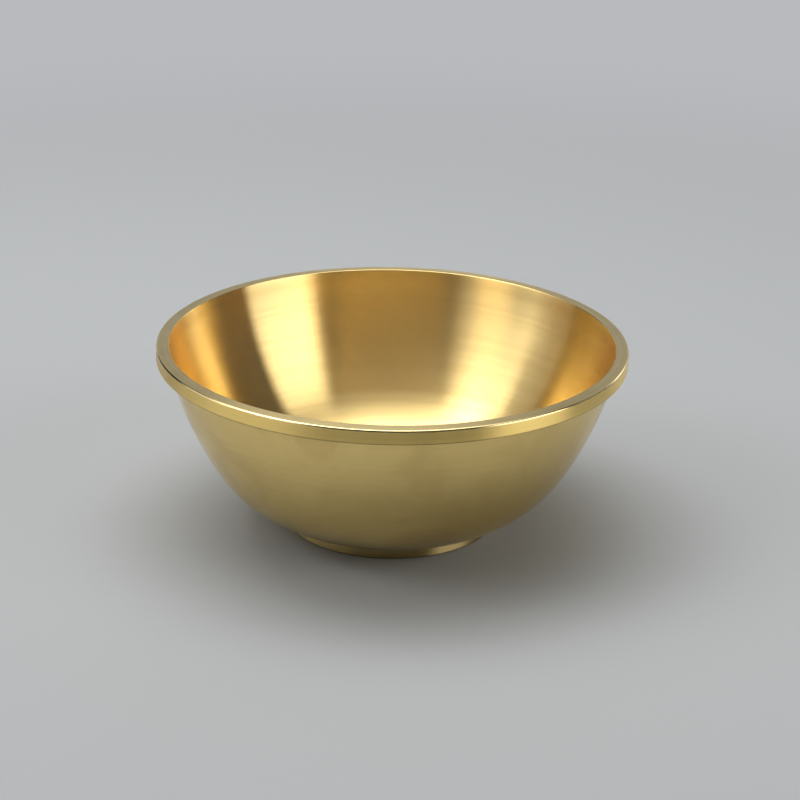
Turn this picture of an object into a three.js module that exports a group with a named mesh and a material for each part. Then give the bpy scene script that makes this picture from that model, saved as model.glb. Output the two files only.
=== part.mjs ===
// A small polished brass bowl: a spun shell with a heavy ring soldered round its mouth
// and a low foot ring soldered under its base.
//
// Every piece is a turned one, so each is drawn as a half section (radius, height) and
// revolved about the vertical axis. The bowl stands on z = 0.

import * as THREE from 'three';

// Driving dimensions, in millimetres and degrees

// Whole bowl
const HEIGHT = 42.7;
const MOUTH_RADIUS = 50;

// Lip: the flat top that the shell's edge and the rim ring make together
const LIP_FALL = 0.1;
const LIP_INNER_ROUND = 0.2;
const LIP_OUTER_ROUND = 0.45;

// Shell: flat base, heel arc, then a wall arc that runs up to the lip
const BASE_LIFT = 1.3;
const BASE_FLAT_RADIUS = 15.8;
const HEEL_ARC_RADIUS = 29;
const HEEL_ARC_TURN = 58.6;
const WALL_AT_BASE = 1.5;
const WALL_AT_LIP = 0.9;

// Rim ring, its width and height taken at the outside
const RIM_RING_WIDTH = 1.8;
const RIM_RING_HEIGHT = 3.3;
const RIM_RING_LOWER_ROUND = 0.3;

// Foot ring
const FOOT_OUTER_RADIUS = 24.4;
const FOOT_RING_WALL = 2.2;
const FOOT_RING_ROUND = 0.4;

// Silver solder: a thin film in each joint, with a small hollow fillet where it shows
const SOLDER_FILM = 0.1;
const RIM_FILLET = 0.4;
const FOOT_FILLET = 0.4;

// Fineness of the facets
const SEGMENTS = 88;
const HEEL_INNER_STEPS = 4;
const HEEL_OUTER_STEPS = 8;
const WALL_STEPS = 8;
const ROUND_STEPS = 3;

// Finishes

function brass(name, color, roughness) {
  return new THREE.MeshStandardMaterial({ name, color, roughness, metalness: 1 });
}

const SHELL_FINISH = brass('spun_brass', 0xd9b368, 0.16);
const RIM_FINISH = brass('turned_rim_brass', 0xcbb07a, 0.28);
const FOOT_FINISH = brass('turned_foot_brass', 0xc4a468, 0.24);
const RIM_SOLDER_FINISH = brass('rim_silver_solder', 0xd8cfb0, 0.35);
const FOOT_SOLDER_FINISH = brass('foot_silver_solder', 0xcfc5a6, 0.4);

// Outlines

function at(radius, height) {
  return new THREE.Vector2(radius, height);
}

function between(start, end, share) {
  return start + (end - start) * share;
}

// The points that replace a corner of an outline by an arc, no larger than its sides allow
function roundCorner(before, corner, after, radius) {
  const back = before.clone().sub(corner);
  const ahead = after.clone().sub(corner);
  const halfAngle = Math.acos(back.dot(ahead) / back.length() / ahead.length()) / 2;
  const room = Math.min(back.length(), ahead.length()) * 0.9;
  const reach = Math.min(radius / Math.tan(halfAngle), room);
  const first = corner.clone().addScaledVector(back.normalize(), reach);
  const last = corner.clone().addScaledVector(ahead.normalize(), reach);
  const middle = back.add(ahead).normalize();
  const centre = corner.clone().addScaledVector(middle, reach / Math.cos(halfAngle));
  const start = first.sub(centre);
  const turn = Math.atan2(start.cross(last.sub(centre)), start.dot(last));
  const points = [];
  for (let step = 0; step <= ROUND_STEPS; step += 1) {
    points.push(start.clone().rotateAround(at(0, 0), (turn * step) / ROUND_STEPS).add(centre));
  }
  return points;
}

// A hollow fillet between two walls that meet square: it runs from one tip to the other
function hollowFillet(firstTip, corner, lastTip) {
  const points = [];
  for (let step = 0; step <= ROUND_STEPS; step += 1) {
    const share = step / ROUND_STEPS;
    const onFirst = firstTip.clone().lerp(corner, share);
    const onLast = corner.clone().lerp(lastTip, share);
    points.push(onFirst.lerp(onLast, share));
  }
  return points;
}

// A closed half section revolved into a solid ring, or into a dish if it ends on the axis
function turned(points) {
  return new THREE.LatheGeometry(points, SEGMENTS).rotateX(Math.PI / 2);
}

// A ring's section ends where it started
function turnedRing(points) {
  return turned([...points, points[0]]);
}

// Outside of the shell

// A point of an arc, by its heading there: 0 degrees is level and outward, 90 straight up
function pointOnArc(arc, heading) {
  return at(
    arc.start.x + arc.radius * (Math.sin(heading) - Math.sin(arc.from)),
    arc.start.y + arc.radius * (Math.cos(arc.from) - Math.cos(heading)),
  );
}

const baseEdge = at(BASE_FLAT_RADIUS, BASE_LIFT);
const heelArc = {
  start: baseEdge,
  from: 0,
  to: THREE.MathUtils.degToRad(HEEL_ARC_TURN),
  radius: HEEL_ARC_RADIUS,
};

// The wall arc carries the heel on, without a corner, to the outer edge of the shell's lip
function makeWallArc() {
  const start = pointOnArc(heelArc, heelArc.to);
  const chord = at(MOUTH_RADIUS + WALL_AT_LIP, HEIGHT).sub(start);
  const halfTurn = chord.angle() - heelArc.to;
  return {
    start,
    from: heelArc.to,
    to: heelArc.to + 2 * halfTurn,
    radius: chord.length() / (2 * Math.sin(halfTurn)),
  };
}

const wallArc = makeWallArc();

// The heading of an arc where it reaches a radius or a height
function headingAtRadius(arc, radius) {
  return Math.asin(Math.max(0, (radius - arc.start.x) / arc.radius + Math.sin(arc.from)));
}

function headingAtHeight(arc, height) {
  return Math.acos(Math.cos(arc.from) - (height - arc.start.y) / arc.radius);
}

// Seats: the two straight cones turned on the shell's outside for its rings

const footInnerRadius = FOOT_OUTER_RADIUS - FOOT_RING_WALL;

function footSeatEnd(radius) {
  const heading = headingAtRadius(heelArc, radius);
  return { heading, point: at(radius, pointOnArc(heelArc, heading).y) };
}

const footSeatInner = footSeatEnd(footInnerRadius - FOOT_FILLET);
const footSeatOuter = footSeatEnd(FOOT_OUTER_RADIUS + FOOT_FILLET);

function footSeatHeight(radius) {
  const inner = footSeatInner.point;
  const outer = footSeatOuter.point;
  return between(inner.y, outer.y, (radius - inner.x) / (outer.x - inner.x));
}

const rimRingBottom = HEIGHT - RIM_RING_HEIGHT;
const rimSeatHeading = headingAtHeight(wallArc, rimRingBottom - RIM_FILLET);
const rimSeatBottom = pointOnArc(wallArc, rimSeatHeading);
const shellLipRadius = MOUTH_RADIUS + WALL_AT_LIP;
const outerRadius = shellLipRadius + SOLDER_FILM + RIM_RING_WIDTH;

// The lip falls evenly from its crest, at the end of the inner round, to the outside
const crestRadius = MOUTH_RADIUS + LIP_INNER_ROUND;

function lipHeight(radius) {
  return HEIGHT - (LIP_FALL * (radius - crestRadius)) / (outerRadius - crestRadius);
}

const shellLip = at(shellLipRadius, lipHeight(shellLipRadius));

function rimSeatRadius(height) {
  const share = (height - rimSeatBottom.y) / (shellLip.y - rimSeatBottom.y);
  return between(rimSeatBottom.x, shellLip.x, share);
}

// Shell

// The wall thins evenly with height, from the base to the lip
function wallThickness(height) {
  return between(WALL_AT_BASE, WALL_AT_LIP, (height - BASE_LIFT) / (HEIGHT - BASE_LIFT));
}

function stationOnArc(arc, heading) {
  return { heading, point: pointOnArc(arc, heading) };
}

function arcStations(arc, from, to, steps) {
  const stations = [];
  for (let step = 1; step <= steps; step += 1) {
    stations.push(stationOnArc(arc, between(from, to, step / steps)));
  }
  return stations;
}

// Stations up the outside of the shell, from the edge of the flat base to the rim seat
function shellStations() {
  return [
    { heading: 0, point: baseEdge },
    ...arcStations(heelArc, heelArc.from, footSeatInner.heading, HEEL_INNER_STEPS),
    ...arcStations(heelArc, footSeatOuter.heading, heelArc.to, HEEL_OUTER_STEPS),
    ...arcStations(wallArc, wallArc.from, rimSeatHeading, WALL_STEPS),
  ];
}

// The inside lies one wall thickness in from the outside, square to it
function insidePoint(station) {
  const wall = wallThickness(station.point.y);
  const inward = at(-Math.sin(station.heading), Math.cos(station.heading));
  return station.point.clone().addScaledVector(inward, wall);
}

function makeShell() {
  const stations = shellStations();
  const seated = [...stations];
  seated.splice(1 + HEEL_INNER_STEPS, 0, footSeatOuter);
  const outside = seated.map((station) => station.point);
  const inside = stations.map(insidePoint);
  const mouth = at(MOUTH_RADIUS, lipHeight(MOUTH_RADIUS));
  const lip = roundCorner(shellLip, mouth, inside.at(-1), LIP_INNER_ROUND);
  return turned([
    at(0, BASE_LIFT),
    ...outside,
    shellLip,
    ...lip,
    ...inside.reverse(),
    at(0, BASE_LIFT + WALL_AT_BASE),
  ]);
}

// Rim ring

const rimBoreBottom = at(rimSeatRadius(rimRingBottom) + SOLDER_FILM, rimRingBottom);
const rimBoreTop = at(shellLip.x + SOLDER_FILM, lipHeight(shellLip.x + SOLDER_FILM));

function makeRimRing() {
  const outsideTop = at(outerRadius, lipHeight(outerRadius));
  const outsideBottom = at(outerRadius, rimRingBottom);
  return turnedRing([
    rimBoreBottom,
    ...roundCorner(rimBoreBottom, outsideBottom, outsideTop, RIM_RING_LOWER_ROUND),
    ...roundCorner(outsideBottom, outsideTop, rimBoreTop, LIP_OUTER_ROUND),
    rimBoreTop,
  ]);
}

function makeRimSolder() {
  const underRing = at(rimBoreBottom.x + RIM_FILLET, rimRingBottom);
  const corner = at(rimSeatRadius(rimRingBottom), rimRingBottom);
  return turnedRing([
    ...hollowFillet(rimSeatBottom, corner, underRing),
    rimBoreBottom,
    rimBoreTop,
    shellLip,
  ]);
}

// Foot ring

function footRingTop(radius) {
  return at(radius, footSeatHeight(radius) - SOLDER_FILM);
}

const footTopInner = footRingTop(footInnerRadius);
const footTopOuter = footRingTop(FOOT_OUTER_RADIUS);

function makeFootRing() {
  const soleInner = at(footInnerRadius, 0);
  const soleOuter = at(FOOT_OUTER_RADIUS, 0);
  return turnedRing([
    footTopInner,
    ...roundCorner(footTopInner, soleInner, soleOuter, FOOT_RING_ROUND),
    ...roundCorner(soleInner, soleOuter, footTopOuter, FOOT_RING_ROUND),
    footTopOuter,
  ]);
}

function makeFootSolder() {
  const innerTip = at(footInnerRadius, footTopInner.y - FOOT_FILLET);
  const outerTip = at(FOOT_OUTER_RADIUS, footTopOuter.y - FOOT_FILLET);
  const innerCorner = at(footInnerRadius, footSeatHeight(footInnerRadius));
  const outerCorner = at(FOOT_OUTER_RADIUS, footSeatHeight(FOOT_OUTER_RADIUS));
  return turnedRing([
    ...hollowFillet(footSeatInner.point, innerCorner, innerTip),
    footTopInner,
    footTopOuter,
    ...hollowFillet(outerTip, outerCorner, footSeatOuter.point),
  ]);
}

// Assembly

function piece(name, geometry, material) {
  const mesh = new THREE.Mesh(geometry, material);
  mesh.name = name;
  return mesh;
}

const bowl = new THREE.Group();
bowl.name = 'brass_bowl';
bowl.add(
  piece('bowl_shell', makeShell(), SHELL_FINISH),
  piece('rim_ring', makeRimRing(), RIM_FINISH),
  piece('rim_solder', makeRimSolder(), RIM_SOLDER_FINISH),
  piece('foot_ring', makeFootRing(), FOOT_FINISH),
  piece('foot_solder', makeFootSolder(), FOOT_SOLDER_FINISH),
);

export default bowl;
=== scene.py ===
"""A polished brass bowl with a soldered rim ring and foot ring, on a pale grey floor.

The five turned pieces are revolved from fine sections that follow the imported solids, and
each one stands for its solid. The bowl and the camera's place are written in millimetres,
and the studio in metres.
"""

import math

import bpy
from mathutils import Matrix, Vector


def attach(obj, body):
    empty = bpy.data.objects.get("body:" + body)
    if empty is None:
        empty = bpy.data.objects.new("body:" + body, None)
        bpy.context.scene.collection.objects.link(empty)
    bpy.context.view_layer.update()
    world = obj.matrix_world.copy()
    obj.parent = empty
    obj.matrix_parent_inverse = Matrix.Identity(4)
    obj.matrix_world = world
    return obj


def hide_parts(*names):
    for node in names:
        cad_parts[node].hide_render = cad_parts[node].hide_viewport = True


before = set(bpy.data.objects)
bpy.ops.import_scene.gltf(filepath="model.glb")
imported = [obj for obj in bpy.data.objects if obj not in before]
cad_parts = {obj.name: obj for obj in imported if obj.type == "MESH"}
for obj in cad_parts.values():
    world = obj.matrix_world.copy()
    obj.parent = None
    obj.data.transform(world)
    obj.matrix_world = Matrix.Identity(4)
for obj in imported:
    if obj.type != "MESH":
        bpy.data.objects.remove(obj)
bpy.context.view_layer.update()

# Sizes of the bowl, in millimetres and degrees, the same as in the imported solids
HEIGHT = 42.7
MOUTH_RADIUS = 50.0
LIP_FALL = 0.1
LIP_INNER_ROUND = 0.2
LIP_OUTER_ROUND = 0.45
BASE_LIFT = 1.3
BASE_FLAT_RADIUS = 15.8
HEEL_ARC_RADIUS = 29.0
HEEL_ARC_TURN = 58.6
WALL_AT_BASE = 1.5
WALL_AT_LIP = 0.9
RIM_RING_WIDTH = 1.8
RIM_RING_HEIGHT = 3.3
RIM_RING_LOWER_ROUND = 0.3
FOOT_OUTER_RADIUS = 24.4
FOOT_RING_WALL = 2.2
FOOT_RING_ROUND = 0.4
SOLDER_FILM = 0.1
RIM_FILLET = 0.4
FOOT_FILLET = 0.4

# Fineness of the visible meshes
SEGMENTS = 336
FLOOR_STEPS = 16
HEEL_STEPS = 48
WALL_STEPS = 48
ROUND_STEPS = 10
FACE_STEPS = 6
SHARP_ANGLE = math.radians(28)
LIP_FACES_UP = 0.9
MM = 0.001

# The camera, in millimetres, degrees and pixels of a picture 800 pixels wide
CAMERA_AIM = (1.9, 0.0, 28.21)
CAMERA_DISTANCE = 475.4
CAMERA_ELEVATION = 21.83
CAMERA_ROLL = 1.114
FOCAL_PIXELS = 2095.9
PICTURE_WIDTH = 800
SENSOR_WIDTH = 36.0
NEAREST_SEEN = 10.0
FARTHEST_SEEN = 50000.0


# Outlines: a point is (radius, height) in millimetres


def minus(a, b):
    return (a[0] - b[0], a[1] - b[1])


def along(a, direction, distance):
    return (a[0] + direction[0] * distance, a[1] + direction[1] * distance)


def between(a, b, share):
    return a + (b - a) * share


def blend_points(a, b, share):
    return (between(a[0], b[0], share), between(a[1], b[1], share))


def unit(a):
    length = math.hypot(*a)
    return (a[0] / length, a[1] / length)


def straight(a, b, steps=FACE_STEPS):
    """The points between a and b, neither of them included."""
    return [blend_points(a, b, step / steps) for step in range(1, steps)]


def round_corner(before, corner, after, radius):
    """The points that replace a corner by an arc."""
    back = minus(before, corner)
    ahead = minus(after, corner)
    cosine = (back[0] * ahead[0] + back[1] * ahead[1]) / math.hypot(*back) / math.hypot(*ahead)
    half_angle = math.acos(cosine) / 2
    reach = min(radius / math.tan(half_angle), min(math.hypot(*back), math.hypot(*ahead)) * 0.9)
    first = along(corner, unit(back), reach)
    last = along(corner, unit(ahead), reach)
    middle = unit(minus(along((0, 0), unit(back), 1), along((0, 0), unit(ahead), -1)))
    centre = along(corner, middle, reach / math.cos(half_angle))
    start = minus(first, centre)
    end = minus(last, centre)
    turn = math.atan2(start[0] * end[1] - start[1] * end[0], start[0] * end[0] + start[1] * end[1])
    points = []
    for step in range(ROUND_STEPS + 1):
        angle = turn * step / ROUND_STEPS
        c, s = math.cos(angle), math.sin(angle)
        points.append((centre[0] + start[0] * c - start[1] * s, centre[1] + start[0] * s + start[1] * c))
    return points


def hollow_fillet(first_tip, corner, last_tip):
    points = []
    for step in range(ROUND_STEPS + 1):
        share = step / ROUND_STEPS
        on_first = blend_points(first_tip, corner, share)
        on_last = blend_points(corner, last_tip, share)
        points.append(blend_points(on_first, on_last, share))
    return points


# Outside of the shell: a heel arc, then a wall arc up to the lip


def point_on_arc(arc, heading):
    return (
        arc["start"][0] + arc["radius"] * (math.sin(heading) - math.sin(arc["from"])),
        arc["start"][1] + arc["radius"] * (math.cos(arc["from"]) - math.cos(heading)),
    )


base_edge = (BASE_FLAT_RADIUS, BASE_LIFT)
heel_arc = {"start": base_edge, "from": 0.0, "to": math.radians(HEEL_ARC_TURN), "radius": HEEL_ARC_RADIUS}


def make_wall_arc():
    start = point_on_arc(heel_arc, heel_arc["to"])
    chord = minus((MOUTH_RADIUS + WALL_AT_LIP, HEIGHT), start)
    half_turn = math.atan2(chord[1], chord[0]) - heel_arc["to"]
    radius = math.hypot(*chord) / (2 * math.sin(half_turn))
    return {"start": start, "from": heel_arc["to"], "to": heel_arc["to"] + 2 * half_turn, "radius": radius}


wall_arc = make_wall_arc()


def heading_at_radius(arc, radius):
    return math.asin(max(0.0, (radius - arc["start"][0]) / arc["radius"] + math.sin(arc["from"])))


def heading_at_height(arc, height):
    return math.acos(math.cos(arc["from"]) - (height - arc["start"][1]) / arc["radius"])


# Seats of the two rings, and the lip

foot_inner_radius = FOOT_OUTER_RADIUS - FOOT_RING_WALL


def foot_seat_end(radius):
    heading = heading_at_radius(heel_arc, radius)
    return heading, (radius, point_on_arc(heel_arc, heading)[1])


foot_seat_inner = foot_seat_end(foot_inner_radius - FOOT_FILLET)
foot_seat_outer = foot_seat_end(FOOT_OUTER_RADIUS + FOOT_FILLET)


def foot_seat_height(radius):
    inner, outer = foot_seat_inner[1], foot_seat_outer[1]
    return between(inner[1], outer[1], (radius - inner[0]) / (outer[0] - inner[0]))


rim_ring_bottom = HEIGHT - RIM_RING_HEIGHT
rim_seat_heading = heading_at_height(wall_arc, rim_ring_bottom - RIM_FILLET)
rim_seat_bottom = point_on_arc(wall_arc, rim_seat_heading)
shell_lip_radius = MOUTH_RADIUS + WALL_AT_LIP
outer_radius = shell_lip_radius + SOLDER_FILM + RIM_RING_WIDTH
crest_radius = MOUTH_RADIUS + LIP_INNER_ROUND


def lip_height(radius):
    return HEIGHT - LIP_FALL * (radius - crest_radius) / (outer_radius - crest_radius)


shell_lip = (shell_lip_radius, lip_height(shell_lip_radius))


def rim_seat_radius(height):
    share = (height - rim_seat_bottom[1]) / (shell_lip[1] - rim_seat_bottom[1])
    return between(rim_seat_bottom[0], shell_lip[0], share)


# Sections of the five pieces


def wall_thickness(height):
    return between(WALL_AT_BASE, WALL_AT_LIP, (height - BASE_LIFT) / (HEIGHT - BASE_LIFT))


def stations(arc, start, end, steps):
    """(heading, point) up the outside of the shell, from start to end."""
    made = []
    for step in range(steps + 1):
        heading = between(start, end, step / steps)
        made.append((heading, point_on_arc(arc, heading)))
    return made


def inside_point(station):
    heading, point = station
    return along(point, (-math.sin(heading), math.cos(heading)), wall_thickness(point[1]))


def shell_section():
    under = stations(heel_arc, 0.0, foot_seat_inner[0], FLOOR_STEPS)
    heel = stations(heel_arc, foot_seat_outer[0], heel_arc["to"], HEEL_STEPS)
    wall = stations(wall_arc, wall_arc["from"], rim_seat_heading, WALL_STEPS)[1:]
    all_round = stations(heel_arc, 0.0, heel_arc["to"], HEEL_STEPS + FLOOR_STEPS) + wall
    inside = [inside_point(s) for s in all_round]
    mouth = (MOUTH_RADIUS, lip_height(MOUTH_RADIUS))
    lip = round_corner(shell_lip, mouth, inside[-1], LIP_INNER_ROUND)
    centre_low = (0.0, BASE_LIFT)
    centre_high = (0.0, BASE_LIFT + WALL_AT_BASE)
    return [
        centre_low,
        *straight(centre_low, base_edge, FLOOR_STEPS),
        *[point for _, point in under],
        *straight(foot_seat_inner[1], foot_seat_outer[1]),
        *[point for _, point in heel],
        *[point for _, point in wall],
        *straight(wall[-1][1], shell_lip),
        shell_lip,
        *lip,
        *straight(lip[-1], inside[-1]),
        *reversed(inside),
        *straight(inside[0], centre_high, FLOOR_STEPS),
        centre_high,
    ]


rim_bore_bottom = (rim_seat_radius(rim_ring_bottom) + SOLDER_FILM, rim_ring_bottom)
rim_bore_top = (shell_lip[0] + SOLDER_FILM, lip_height(shell_lip[0] + SOLDER_FILM))


def rim_ring_section():
    outside_top = (outer_radius, lip_height(outer_radius))
    outside_bottom = (outer_radius, rim_ring_bottom)
    low = round_corner(rim_bore_bottom, outside_bottom, outside_top, RIM_RING_LOWER_ROUND)
    high = round_corner(outside_bottom, outside_top, rim_bore_top, LIP_OUTER_ROUND)
    return [
        rim_bore_bottom,
        *straight(rim_bore_bottom, low[0]),
        *low,
        *straight(low[-1], high[0]),
        *high,
        *straight(high[-1], rim_bore_top),
        rim_bore_top,
        *straight(rim_bore_top, rim_bore_bottom),
    ]


def rim_solder_section():
    under_ring = (rim_bore_bottom[0] + RIM_FILLET, rim_ring_bottom)
    corner = (rim_seat_radius(rim_ring_bottom), rim_ring_bottom)
    return [
        *hollow_fillet(rim_seat_bottom, corner, under_ring),
        rim_bore_bottom,
        *straight(rim_bore_bottom, rim_bore_top),
        rim_bore_top,
        shell_lip,
        *straight(shell_lip, rim_seat_bottom),
    ]


foot_top_inner = (foot_inner_radius, foot_seat_height(foot_inner_radius) - SOLDER_FILM)
foot_top_outer = (FOOT_OUTER_RADIUS, foot_seat_height(FOOT_OUTER_RADIUS) - SOLDER_FILM)


def foot_ring_section():
    sole_inner = (foot_inner_radius, 0.0)
    sole_outer = (FOOT_OUTER_RADIUS, 0.0)
    inner = round_corner(foot_top_inner, sole_inner, sole_outer, FOOT_RING_ROUND)
    outer = round_corner(sole_inner, sole_outer, foot_top_outer, FOOT_RING_ROUND)
    return [
        foot_top_inner,
        *straight(foot_top_inner, inner[0]),
        *inner,
        *straight(inner[-1], outer[0]),
        *outer,
        *straight(outer[-1], foot_top_outer),
        foot_top_outer,
        *straight(foot_top_outer, foot_top_inner),
    ]


def foot_solder_section():
    inner_tip = (foot_inner_radius, foot_top_inner[1] - FOOT_FILLET)
    outer_tip = (FOOT_OUTER_RADIUS, foot_top_outer[1] - FOOT_FILLET)
    inner_corner = (foot_inner_radius, foot_seat_height(foot_inner_radius))
    outer_corner = (FOOT_OUTER_RADIUS, foot_seat_height(FOOT_OUTER_RADIUS))
    return [
        *hollow_fillet(foot_seat_inner[1], inner_corner, inner_tip),
        foot_top_inner,
        *straight(foot_top_inner, foot_top_outer),
        foot_top_outer,
        *hollow_fillet(outer_tip, outer_corner, foot_seat_outer[1]),
        *straight(foot_seat_outer[1], foot_seat_inner[1]),
    ]


# Meshes


def finish_of(polygon):
    """0 on the outside, 1 on the flat lip, 2 on the inside, where a face looks up or towards the axis."""
    n, c = polygon.normal, polygon.center
    if n.z > LIP_FACES_UP and c.z > (HEIGHT - LIP_OUTER_ROUND) * MM:
        return 1
    return 2 if n.z > 0.5 or n.x * c.x + n.y * c.y < 0 else 0


def revolved(name, section, finishes):
    """A closed section revolved about the vertical axis. One with both ends on the axis makes a dish."""
    is_dish = section[0][0] == 0.0
    verts, rows = [], []
    for radius, height in section:
        if radius == 0.0:
            rows.append([len(verts)])
            verts.append((0.0, 0.0, height * MM))
            continue
        rows.append(list(range(len(verts), len(verts) + SEGMENTS)))
        for k in range(SEGMENTS):
            angle = 2 * math.pi * k / SEGMENTS
            verts.append((radius * math.cos(angle) * MM, radius * math.sin(angle) * MM, height * MM))
    if not is_dish:
        rows.append(rows[0])
    faces = []
    for low, high in zip(rows, rows[1:]):
        for k in range(SEGMENTS):
            n = (k + 1) % SEGMENTS
            if len(low) == 1:
                faces.append((low[0], high[n], high[k]))
            elif len(high) == 1:
                faces.append((low[k], low[n], high[0]))
            else:
                faces.append((low[k], low[n], high[n], high[k]))
    mesh = bpy.data.meshes.new(name)
    mesh.from_pydata(verts, [], faces)
    mesh.shade_smooth()
    mesh.set_sharp_from_angle(angle=SHARP_ANGLE)
    for finish in finishes:
        mesh.materials.append(finish)
    for polygon in mesh.polygons:
        polygon.material_index = min(finish_of(polygon), len(finishes) - 1)
    piece = bpy.data.objects.new(name, mesh)
    bpy.context.scene.collection.objects.link(piece)
    return piece


# Materials


class Nodes:
    """A short way to write a material's node tree."""

    def __init__(self, tree):
        self.tree = tree

    def add(self, kind, **settings):
        node = self.tree.nodes.new(kind)
        for key, value in settings.items():
            setattr(node, key, value)
        return node

    def link(self, source, target):
        self.tree.links.new(source, target)

    def value(self, socket, source):
        if isinstance(source, bpy.types.NodeSocket):
            self.link(source, socket)
        else:
            socket.default_value = source

    def math(self, operation, a, b=0.0):
        node = self.add("ShaderNodeMath", operation=operation)
        self.value(node.inputs[0], a)
        self.value(node.inputs[1], b)
        return node.outputs[0]

    def map_range(self, source, low, high, to_low, to_high):
        node = self.add("ShaderNodeMapRange", interpolation_type="SMOOTHSTEP")
        self.value(node.inputs["Value"], source)
        node.inputs["From Min"].default_value = low
        node.inputs["From Max"].default_value = high
        node.inputs["To Min"].default_value = to_low
        node.inputs["To Max"].default_value = to_high
        return node.outputs["Result"]

    def noise(self, vector, scale, detail=2.0, dimensions="3D", distortion=0.0):
        node = self.add("ShaderNodeTexNoise", noise_dimensions=dimensions)
        self.link(vector, node.inputs["Vector"])
        node.inputs["Scale"].default_value = scale
        node.inputs["Detail"].default_value = detail
        node.inputs["Distortion"].default_value = distortion
        return node.outputs["Fac"]

    def blend(self, share, a, b):
        node = self.add("ShaderNodeMix", data_type="FLOAT")
        for socket, source in zip(node.inputs, (share, None, a, b)):
            if source is not None:
                self.value(socket, source)
        return node.outputs[0]

    def mix_color(self, share, a, b):
        node = self.add("ShaderNodeMix", data_type="RGBA")
        self.value(node.inputs["Factor"], share)
        sockets = [s for s in node.inputs if s.type == "RGBA"]
        self.value(sockets[0], a)
        self.value(sockets[1], b)
        return [s for s in node.outputs if s.type == "RGBA"][0]


def new_material(name):
    material = bpy.data.materials.new(name)
    material.use_nodes = True
    return material, Nodes(material.node_tree), material.node_tree.nodes["Principled BSDF"]


# Surface textures: scales are in repeats per metre, and the ripples' depth is in millimetres. A span is
# the part of the range of a noise or a tilt over which an effect grows or fades.
FINE_LINES = 2400.0
TOOL_LINES = 950.0
NOISE_SPAN = (0.3, 0.7)
LINE_SPAN = (0.38, 0.62)
HAND_PATCHES = 60.0
PATCH_LEAST_LINES = 0.5
TARNISH_CLOUDS = 24.0
TARNISH_SPAN = (0.42, 0.72)
SMUDGES = 55.0
SMUDGE_SWIRL = 1.6
SMUDGE_SPAN = (0.42, 0.68)
SMUDGE_ROUGHNESS = 0.08
FINE_SHARE = 0.3
TARNISH_TINT = 0.5
TARNISH_ROUGHNESS = 0.02
SOLDER_RIPPLES = 900.0
SOLDER_RIPPLE_DEPTH = 0.05
SOLDER_RIPPLE_SPREAD = 0.2
SOLDER_DULL_SPAN = (0.35, 0.7)
PIT_CELLS = 330.0
PIT_SHARE = 0.035
PIT_SIZE = 0.035
PIT_LEAST_SIZE = 0.6
PIT_BROWN = (0.17, 0.10, 0.035)
PIT_ROUGHNESS = 0.7
EDGE_BRASS = (0.95, 0.76, 0.40)
EDGE_ROUGHNESS = 0.17
EDGE_WEAR = 0.8
OFF_UPRIGHT_SPAN = (0.1, 0.35)
NEAR_LEVEL_SPAN = (0.85, 0.97)
FACING_DOWN_SPAN = (0.05, 0.4)
# Painted shade: a brown laid over the faces that look down, and how fully it covers them.
PAINTED_SHADE_BROWN = (0.24, 0.165, 0.07)
PAINTED_SHADE_COVER = 0.85
ANISOTROPY_TURN = 0.25


def pit_mask(nodes, place):
    """1 in a few tiny pits: the middles of the Voronoi cells whose random number is among the lowest."""
    cells = nodes.add("ShaderNodeTexVoronoi", feature="F1")
    nodes.link(place, cells.inputs["Vector"])
    cells.inputs["Scale"].default_value = PIT_CELLS
    drawn = nodes.add("ShaderNodeSeparateXYZ")
    nodes.link(cells.outputs["Color"], drawn.inputs[0])
    chosen = nodes.math("LESS_THAN", drawn.outputs[0], PIT_SHARE)
    size = nodes.math("MULTIPLY", nodes.math("ADD", drawn.outputs[1], PIT_LEAST_SIZE), PIT_SIZE)
    return nodes.math("MULTIPLY", chosen, nodes.math("LESS_THAN", cells.outputs["Distance"], size))


def edge_masks(nodes, direction):
    """1 on the worn upper rounds of a ring, and 1 on the faces that look down, its lower round and sole,
    which get painted shade.
    """
    split = nodes.add("ShaderNodeSeparateXYZ")
    nodes.link(direction, split.inputs[0])
    tilt = split.outputs[2]
    off_upright = nodes.map_range(tilt, *OFF_UPRIGHT_SPAN, 0.0, 1.0)
    off_level = nodes.map_range(tilt, *NEAR_LEVEL_SPAN, 1.0, 0.0)
    painted_shade_mask = nodes.map_range(nodes.math("MULTIPLY", tilt, -1.0), *FACING_DOWN_SPAN, 0.0, 1.0)
    return nodes.math("MULTIPLY", off_upright, off_level), painted_shade_mask


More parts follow.
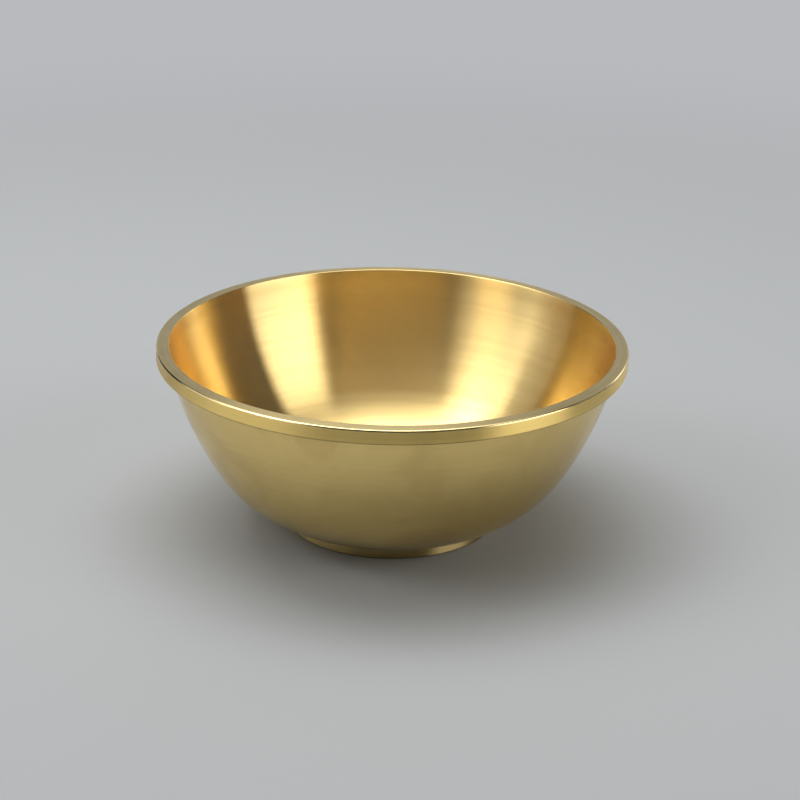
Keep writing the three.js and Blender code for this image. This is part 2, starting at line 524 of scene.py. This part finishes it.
def turned_brass(name, colors, roughness, anisotropy, lathe_lines, smudge, wear_and_painted_shade=False):
    """Lathe-turned metal: fine lines that run round the axis, sharp round it and soft across them.

    The colours are clean and dull metal. The lathe lines have a depth in millimetres, a share by which they
    change the roughness and a share of the dull colour. Smudge is how far the marks of hands dull the metal.
    """
    color, dull_color = colors
    line_depth, line_spread, line_tint = lathe_lines
    material, nodes, shader = new_material(name)
    texture_place = nodes.add("ShaderNodeTexCoord")
    place = texture_place.outputs["Object"]
    split = nodes.add("ShaderNodeSeparateXYZ")
    nodes.link(place, split.inputs[0])
    x, y, z = split.outputs
    x_squared, y_squared = nodes.math("MULTIPLY", x, x), nodes.math("MULTIPLY", y, y)
    radius = nodes.math("SQRT", nodes.math("ADD", x_squared, y_squared))
    combine = nodes.add("ShaderNodeCombineXYZ")
    nodes.link(radius, combine.inputs[0])
    nodes.link(z, combine.inputs[1])
    profile = combine.outputs[0]
    fine_lines = nodes.noise(profile, FINE_LINES, 2.0, "2D")
    tool_lines = nodes.noise(profile, TOOL_LINES, 2.0, "2D")
    patches = nodes.noise(place, HAND_PATCHES, 3.0)
    clouds = nodes.noise(place, TARNISH_CLOUDS, 3.0)
    smudges = nodes.noise(place, SMUDGES, 5.0, distortion=SMUDGE_SWIRL)
    pits = pit_mask(nodes, place)

    fine_part = nodes.math("MULTIPLY", fine_lines, FINE_SHARE)
    lines = nodes.math("ADD", fine_part, nodes.math("MULTIPLY", tool_lines, 1 - FINE_SHARE))
    kept_lines = nodes.map_range(patches, *NOISE_SPAN, PATCH_LEAST_LINES, 1.0)
    worn_lines = nodes.math("MULTIPLY", lines, kept_lines)
    dullness = nodes.map_range(clouds, *TARNISH_SPAN, 0.0, 1.0)
    handled = nodes.map_range(smudges, *SMUDGE_SPAN, 0.0, 1.0)
    dull_lines = nodes.map_range(lines, *LINE_SPAN, 0.0, line_tint)
    tint = nodes.math("ADD", nodes.math("MULTIPLY", dullness, TARNISH_TINT), dull_lines)
    tint = nodes.math("ADD", tint, nodes.math("MULTIPLY", handled, smudge))
    shade = nodes.mix_color(tint, (*color, 1.0), (*dull_color, 1.0))
    sharpest, softest = roughness * (1 - line_spread), roughness * (1 + line_spread)
    line_rough = nodes.map_range(lines, *NOISE_SPAN, sharpest, softest)
    rough = nodes.math("ADD", line_rough, nodes.math("MULTIPLY", dullness, TARNISH_ROUGHNESS))
    rough = nodes.math("ADD", rough, nodes.math("MULTIPLY", handled, smudge * SMUDGE_ROUGHNESS))
    if wear_and_painted_shade:
        edge, painted_shade_mask = edge_masks(nodes, texture_place.outputs["Normal"])
        rough = nodes.blend(edge, rough, EDGE_ROUGHNESS)
        shade = nodes.mix_color(nodes.math("MULTIPLY", edge, EDGE_WEAR), shade, (*EDGE_BRASS, 1.0))
        # Painted shade: the faces that look down, a ring's lower round and sole, are darkened towards brown.
        painted_shade_share = nodes.math("MULTIPLY", painted_shade_mask, PAINTED_SHADE_COVER)
        shade = nodes.mix_color(painted_shade_share, shade, (*PAINTED_SHADE_BROWN, 1.0))
    nodes.link(nodes.mix_color(pits, shade, (*PIT_BROWN, 1.0)), shader.inputs["Base Color"])
    nodes.link(nodes.blend(pits, rough, PIT_ROUGHNESS), shader.inputs["Roughness"])

    bump = nodes.add("ShaderNodeBump")
    bump.inputs["Strength"].default_value = 1.0
    bump.inputs["Distance"].default_value = line_depth * MM
    nodes.link(worn_lines, bump.inputs["Height"])
    nodes.link(bump.outputs["Normal"], shader.inputs["Normal"])
    around = nodes.add("ShaderNodeTangent", direction_type="RADIAL", axis="Z")
    nodes.link(around.outputs["Tangent"], shader.inputs["Tangent"])
    shader.inputs["Metallic"].default_value = 1.0
    shader.inputs["Anisotropic"].default_value = anisotropy
    shader.inputs["Anisotropic Rotation"].default_value = ANISOTROPY_TURN
    return material


def flowed_solder(name, colors, roughness):
    """Silver solder, left softly uneven where it flowed."""
    color, dull_color = colors
    material, nodes, shader = new_material(name)
    place = nodes.add("ShaderNodeTexCoord").outputs["Object"]
    ripples = nodes.noise(place, SOLDER_RIPPLES, 3.0)
    clouds = nodes.noise(place, HAND_PATCHES, 3.0)
    dullness = nodes.map_range(clouds, *SOLDER_DULL_SPAN, 0.0, 1.0)
    nodes.link(nodes.mix_color(dullness, (*color, 1.0), (*dull_color, 1.0)), shader.inputs["Base Color"])
    sharpest, softest = roughness * (1 - SOLDER_RIPPLE_SPREAD), roughness * (1 + SOLDER_RIPPLE_SPREAD)
    rippled = nodes.map_range(ripples, *NOISE_SPAN, sharpest, softest)
    nodes.link(rippled, shader.inputs["Roughness"])
    bump = nodes.add("ShaderNodeBump")
    bump.inputs["Strength"].default_value = 1.0
    bump.inputs["Distance"].default_value = SOLDER_RIPPLE_DEPTH * MM
    nodes.link(ripples, bump.inputs["Height"])
    nodes.link(bump.outputs["Normal"], shader.inputs["Normal"])
    shader.inputs["Metallic"].default_value = 1.0
    return material


INSIDE_BRASS = ((0.89, 0.665, 0.285), (0.82, 0.595, 0.24))
OUTSIDE_BRASS = ((0.875, 0.665, 0.262), (0.77, 0.57, 0.222))
LIP_BRASS = ((0.625, 0.49, 0.22), (0.55, 0.425, 0.19))
BAND_BRASS = ((0.95, 0.705, 0.245), (0.88, 0.645, 0.215))
FOOT_BRASS = ((0.66, 0.51, 0.22), (0.58, 0.445, 0.195))
SOLDER = ((0.62, 0.54, 0.34), (0.55, 0.47, 0.28))

inside_finish = turned_brass("polished_inside_brass", INSIDE_BRASS, 0.24, 1.0, (0.0008, 0.0, 0.5), 0.0)
outside_finish = turned_brass("turned_outside_brass", OUTSIDE_BRASS, 0.15, 0.95, (0.003, 0.07, 0.22), 0.8)
lip_finish = turned_brass("satin_lip_brass", LIP_BRASS, 0.29, 0.85, (0.01, 0.07, 0.4), 0.4, True)
band_finish = turned_brass("turned_band_brass", BAND_BRASS, 0.36, 0.95, (0.006, 0.07, 0.4), 0.4, True)
foot_finish = turned_brass("turned_foot_brass", FOOT_BRASS, 0.36, 0.95, (0.006, 0.07, 0.4), 0.4, True)
rim_solder_finish = flowed_solder("rim_silver_solder", SOLDER, 0.35)
foot_solder_finish = flowed_solder("foot_silver_solder", SOLDER, 0.4)

PIECES = (
    (
        "shell_turned", "bowl_shell", "shell_brass", shell_section(),
        [outside_finish, lip_finish, inside_finish],
    ),
    ("rim_ring_turned", "rim_ring", "rim_brass", rim_ring_section(), [band_finish, lip_finish]),
    ("rim_solder_joint", "rim_solder", "rim_solder_alloy", rim_solder_section(), [rim_solder_finish]),
    ("foot_ring_turned", "foot_ring", "foot_brass", foot_ring_section(), [foot_finish]),
    ("foot_solder_joint", "foot_solder", "foot_solder_alloy", foot_solder_section(), [foot_solder_finish]),
)


for piece_name, node_name, slot_name, section, finishes in PIECES:
    piece = revolved(piece_name, section, finishes)
    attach(piece, "root")
    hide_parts(node_name)


# Floor, backdrop and light, with lengths in metres and angles in degrees

FLOOR_HALF = 6.0
FLOOR_PAPER = (0.394, 0.404, 0.409, 1.0)
FAR_PAPER = (0.479, 0.491, 0.509, 1.0)
FADE_START = 0.2
FADE_END = 0.5
TENT_RADIUS = 1.0
TENT_HEIGHT = 1.0
TENT_OPENING = (-35, 55)
TENT_STEP = 10
TENT_CLOTH = (0.01, 0.01, 0.01, 1.0)
STAGE_ROUGHNESS = 0.9
STAGE_SPECULAR = 0.1


def plain_material(name, color):
    material, _, shader = new_material(name)
    shader.inputs["Base Color"].default_value = color
    shader.inputs["Roughness"].default_value = STAGE_ROUGHNESS
    shader.inputs["Specular IOR Level"].default_value = STAGE_SPECULAR
    return material


def stage_object(name, verts, faces, material):
    mesh = bpy.data.meshes.new(name)
    mesh.from_pydata(verts, [], faces)
    mesh.materials.append(material)
    made = bpy.data.objects.new(name, mesh)
    bpy.context.scene.collection.objects.link(made)
    return made


def make_floor():
    """Plain pale grey paper, with the bowl's shadow near it and one even tone far away."""
    material = plain_material("studio_paper", FLOOR_PAPER)
    tree = material.node_tree
    nodes = Nodes(tree)
    place = nodes.add("ShaderNodeTexCoord").outputs["Object"]
    length = nodes.add("ShaderNodeVectorMath", operation="LENGTH")
    nodes.link(place, length.inputs[0])
    far = nodes.map_range(length.outputs["Value"], FADE_START, FADE_END, 0.0, 1.0)
    path = nodes.add("ShaderNodeLightPath")
    seen = nodes.math("MAXIMUM", path.outputs["Is Camera Ray"], path.outputs["Is Glossy Ray"])
    seen = nodes.math("MAXIMUM", seen, path.outputs["Is Transmission Ray"])
    even = nodes.add("ShaderNodeEmission")
    even.inputs["Color"].default_value = FAR_PAPER
    mix = nodes.add("ShaderNodeMixShader")
    nodes.link(nodes.math("MULTIPLY", far, seen), mix.inputs[0])
    nodes.link(tree.nodes["Principled BSDF"].outputs[0], mix.inputs[1])
    nodes.link(even.outputs[0], mix.inputs[2])
    nodes.link(mix.outputs[0], tree.nodes["Material Output"].inputs["Surface"])
    s = FLOOR_HALF
    stage_object("studio_floor", [(-s, -s, 0), (s, -s, 0), (s, s, 0), (-s, s, 0)], [(0, 1, 2, 3)], material)


def on_compass(azimuth, distance, height):
    """A point of the studio: azimuth 0 is behind the bowl, 90 at its right, seen from the camera."""
    a = math.radians(azimuth)
    return (distance * math.sin(a), distance * math.cos(a), height)


def make_tent():
    """Black cloth round and over the set, open at the back, where the bowl sees the pale room."""
    start, end = TENT_OPENING[1], TENT_OPENING[0] + 360
    count = (end - start) // TENT_STEP
    angles = [start + TENT_STEP * k for k in range(count + 1)]
    verts = [on_compass(a, TENT_RADIUS, z) for z in (0.0, TENT_HEIGHT) for a in angles]
    faces = [(k, k + 1, k + count + 2, k + count + 1) for k in range(count)]
    first = len(verts)
    turns = 360 // TENT_STEP
    verts += [on_compass(TENT_STEP * k, TENT_RADIUS, TENT_HEIGHT) for k in range(turns)]
    faces.append(tuple(range(first, first + turns)))
    tent = stage_object("studio_tent", verts, faces, plain_material("black_cloth", TENT_CLOTH))
    tent.visible_camera = False


make_floor()
make_tent()


def make_camera():
    elevation = math.radians(CAMERA_ELEVATION)
    roll = math.radians(CAMERA_ROLL)
    back = Vector((0.0, -math.cos(elevation), math.sin(elevation)))
    level_up = Vector((0.0, math.sin(elevation), math.cos(elevation)))
    across = Vector((1.0, 0.0, 0.0))
    right = across * math.cos(roll) + level_up * math.sin(roll)
    up = level_up * math.cos(roll) - across * math.sin(roll)
    turn = Matrix((right, up, back)).transposed()
    data = bpy.data.cameras.new("camera")
    data.sensor_width = SENSOR_WIDTH
    data.lens = FOCAL_PIXELS * SENSOR_WIDTH / PICTURE_WIDTH
    data.clip_start = NEAREST_SEEN * MM
    data.clip_end = FARTHEST_SEEN * MM
    camera = bpy.data.objects.new("camera", data)
    place = (Vector(CAMERA_AIM) + back * CAMERA_DISTANCE) * MM
    camera.matrix_world = Matrix.Translation(place) @ turn.to_4x4()
    bpy.context.scene.collection.objects.link(camera)
    bpy.context.scene.camera = camera


make_camera()

ROOM_GREY = (0.479, 0.491, 0.509, 1.0)

world = bpy.data.worlds.new("studio")
bpy.context.scene.world = world
world.use_nodes = True
world.node_tree.nodes["Background"].inputs["Color"].default_value = ROOM_GREY
world.node_tree.nodes["Background"].inputs["Strength"].default_value = 1.0


# The lamps: name; azimuth and elevation of the middle, seen from LAMP_VIEWPOINT; tilt of the face above
# level; width and height; brightness; and the share of the width or height over which each edge fades, in
# the order right, left, bottom, top, seen from the bowl. The first seven rows come from a fit of the
# lamps to the photo's brightness. Some values were then changed, and all were rounded to steps of 5
# degrees, 5 cm and tenths.
LAMP_VIEWPOINT = (0.0, 0.0, 0.03)
LAMP_DISTANCE = 0.75
LAMPS = (
    ("right_lamp", 115, 10, 0, 0.65, 1.05, 3.0, (0.3, 0.1, 0.7, 0.1)),
    ("left_card", -115, 15, 0, 1.15, 0.2, 1.9, (0.3, 0.4, 0.2, 0.9)),
    ("left_lamp", -115, 45, -15, 0.55, 0.7, 3.8, (0.1, 0.6, 0.2, 0.1)),
    ("over_lamp", -5, 85, 75, 1.15, 1.1, 7.0, (0.5, 0.1, 0.5, 0.8)),
    ("back_lamp", -85, 15, 35, 0.6, 0.6, 1.3, (0.2, 0.3, 0.8, 0.3)),
    ("high_back_lamp", -40, 50, 10, 0.85, 0.25, 0.6, (0.5, 0.3, 0.5, 0.5)),
    ("rear_card", 45, 15, 0, 0.35, 0.3, 1.5, (0.3, 0.5, 0.2, 0.3)),
    ("side_card", 75, 20, 0, 0.5, 0.6, 0.2, (0.3, 0.3, 0.3, 0.3)),
)


def soft_lamp(name, azimuth, elevation, tilt, width, height, radiance, edges):
    """A flat lamp that stands off the bowl, faces its axis and fades towards its edges."""

    def direction(rise):
        return Vector(on_compass(azimuth, math.cos(math.radians(rise)), math.sin(math.radians(rise))))

    place = Vector(LAMP_VIEWPOINT) + direction(elevation) * LAMP_DISTANCE
    outward = direction(tilt)
    data = bpy.data.lights.new(name, "AREA")
    data.shape = "RECTANGLE"
    data.size, data.size_y = width, height
    data.energy = radiance * math.pi * width * height
    data.use_nodes = True
    tree = data.node_tree
    nodes = Nodes(tree)
    split = nodes.add("ShaderNodeSeparateXYZ")
    nodes.link(nodes.add("ShaderNodeNewGeometry").outputs["Parametric"], split.inputs[0])
    across, up = split.outputs[0], split.outputs[1]
    far_across, far_up = nodes.math("SUBTRACT", 1.0, across), nodes.math("SUBTRACT", 1.0, up)
    glow = 1.0
    for distance, fade in zip((across, far_across, up, far_up), edges):
        if fade > 0:
            glow = nodes.math("MULTIPLY", glow, nodes.map_range(distance, 0.0, fade, 0.0, 1.0))
    emission = next(node for node in tree.nodes if node.type == "EMISSION")
    nodes.value(emission.inputs["Strength"], glow)
    lamp = bpy.data.objects.new(name, data)
    lamp.location = place
    lamp.rotation_mode = "QUATERNION"
    lamp.rotation_quaternion = outward.to_track_quat("Z", "Y")
    lamp.visible_camera = False
    bpy.context.scene.collection.objects.link(lamp)


for lamp in LAMPS:
    soft_lamp(*lamp)

view_settings = bpy.context.scene.view_settings
view_settings.view_transform = "Standard"
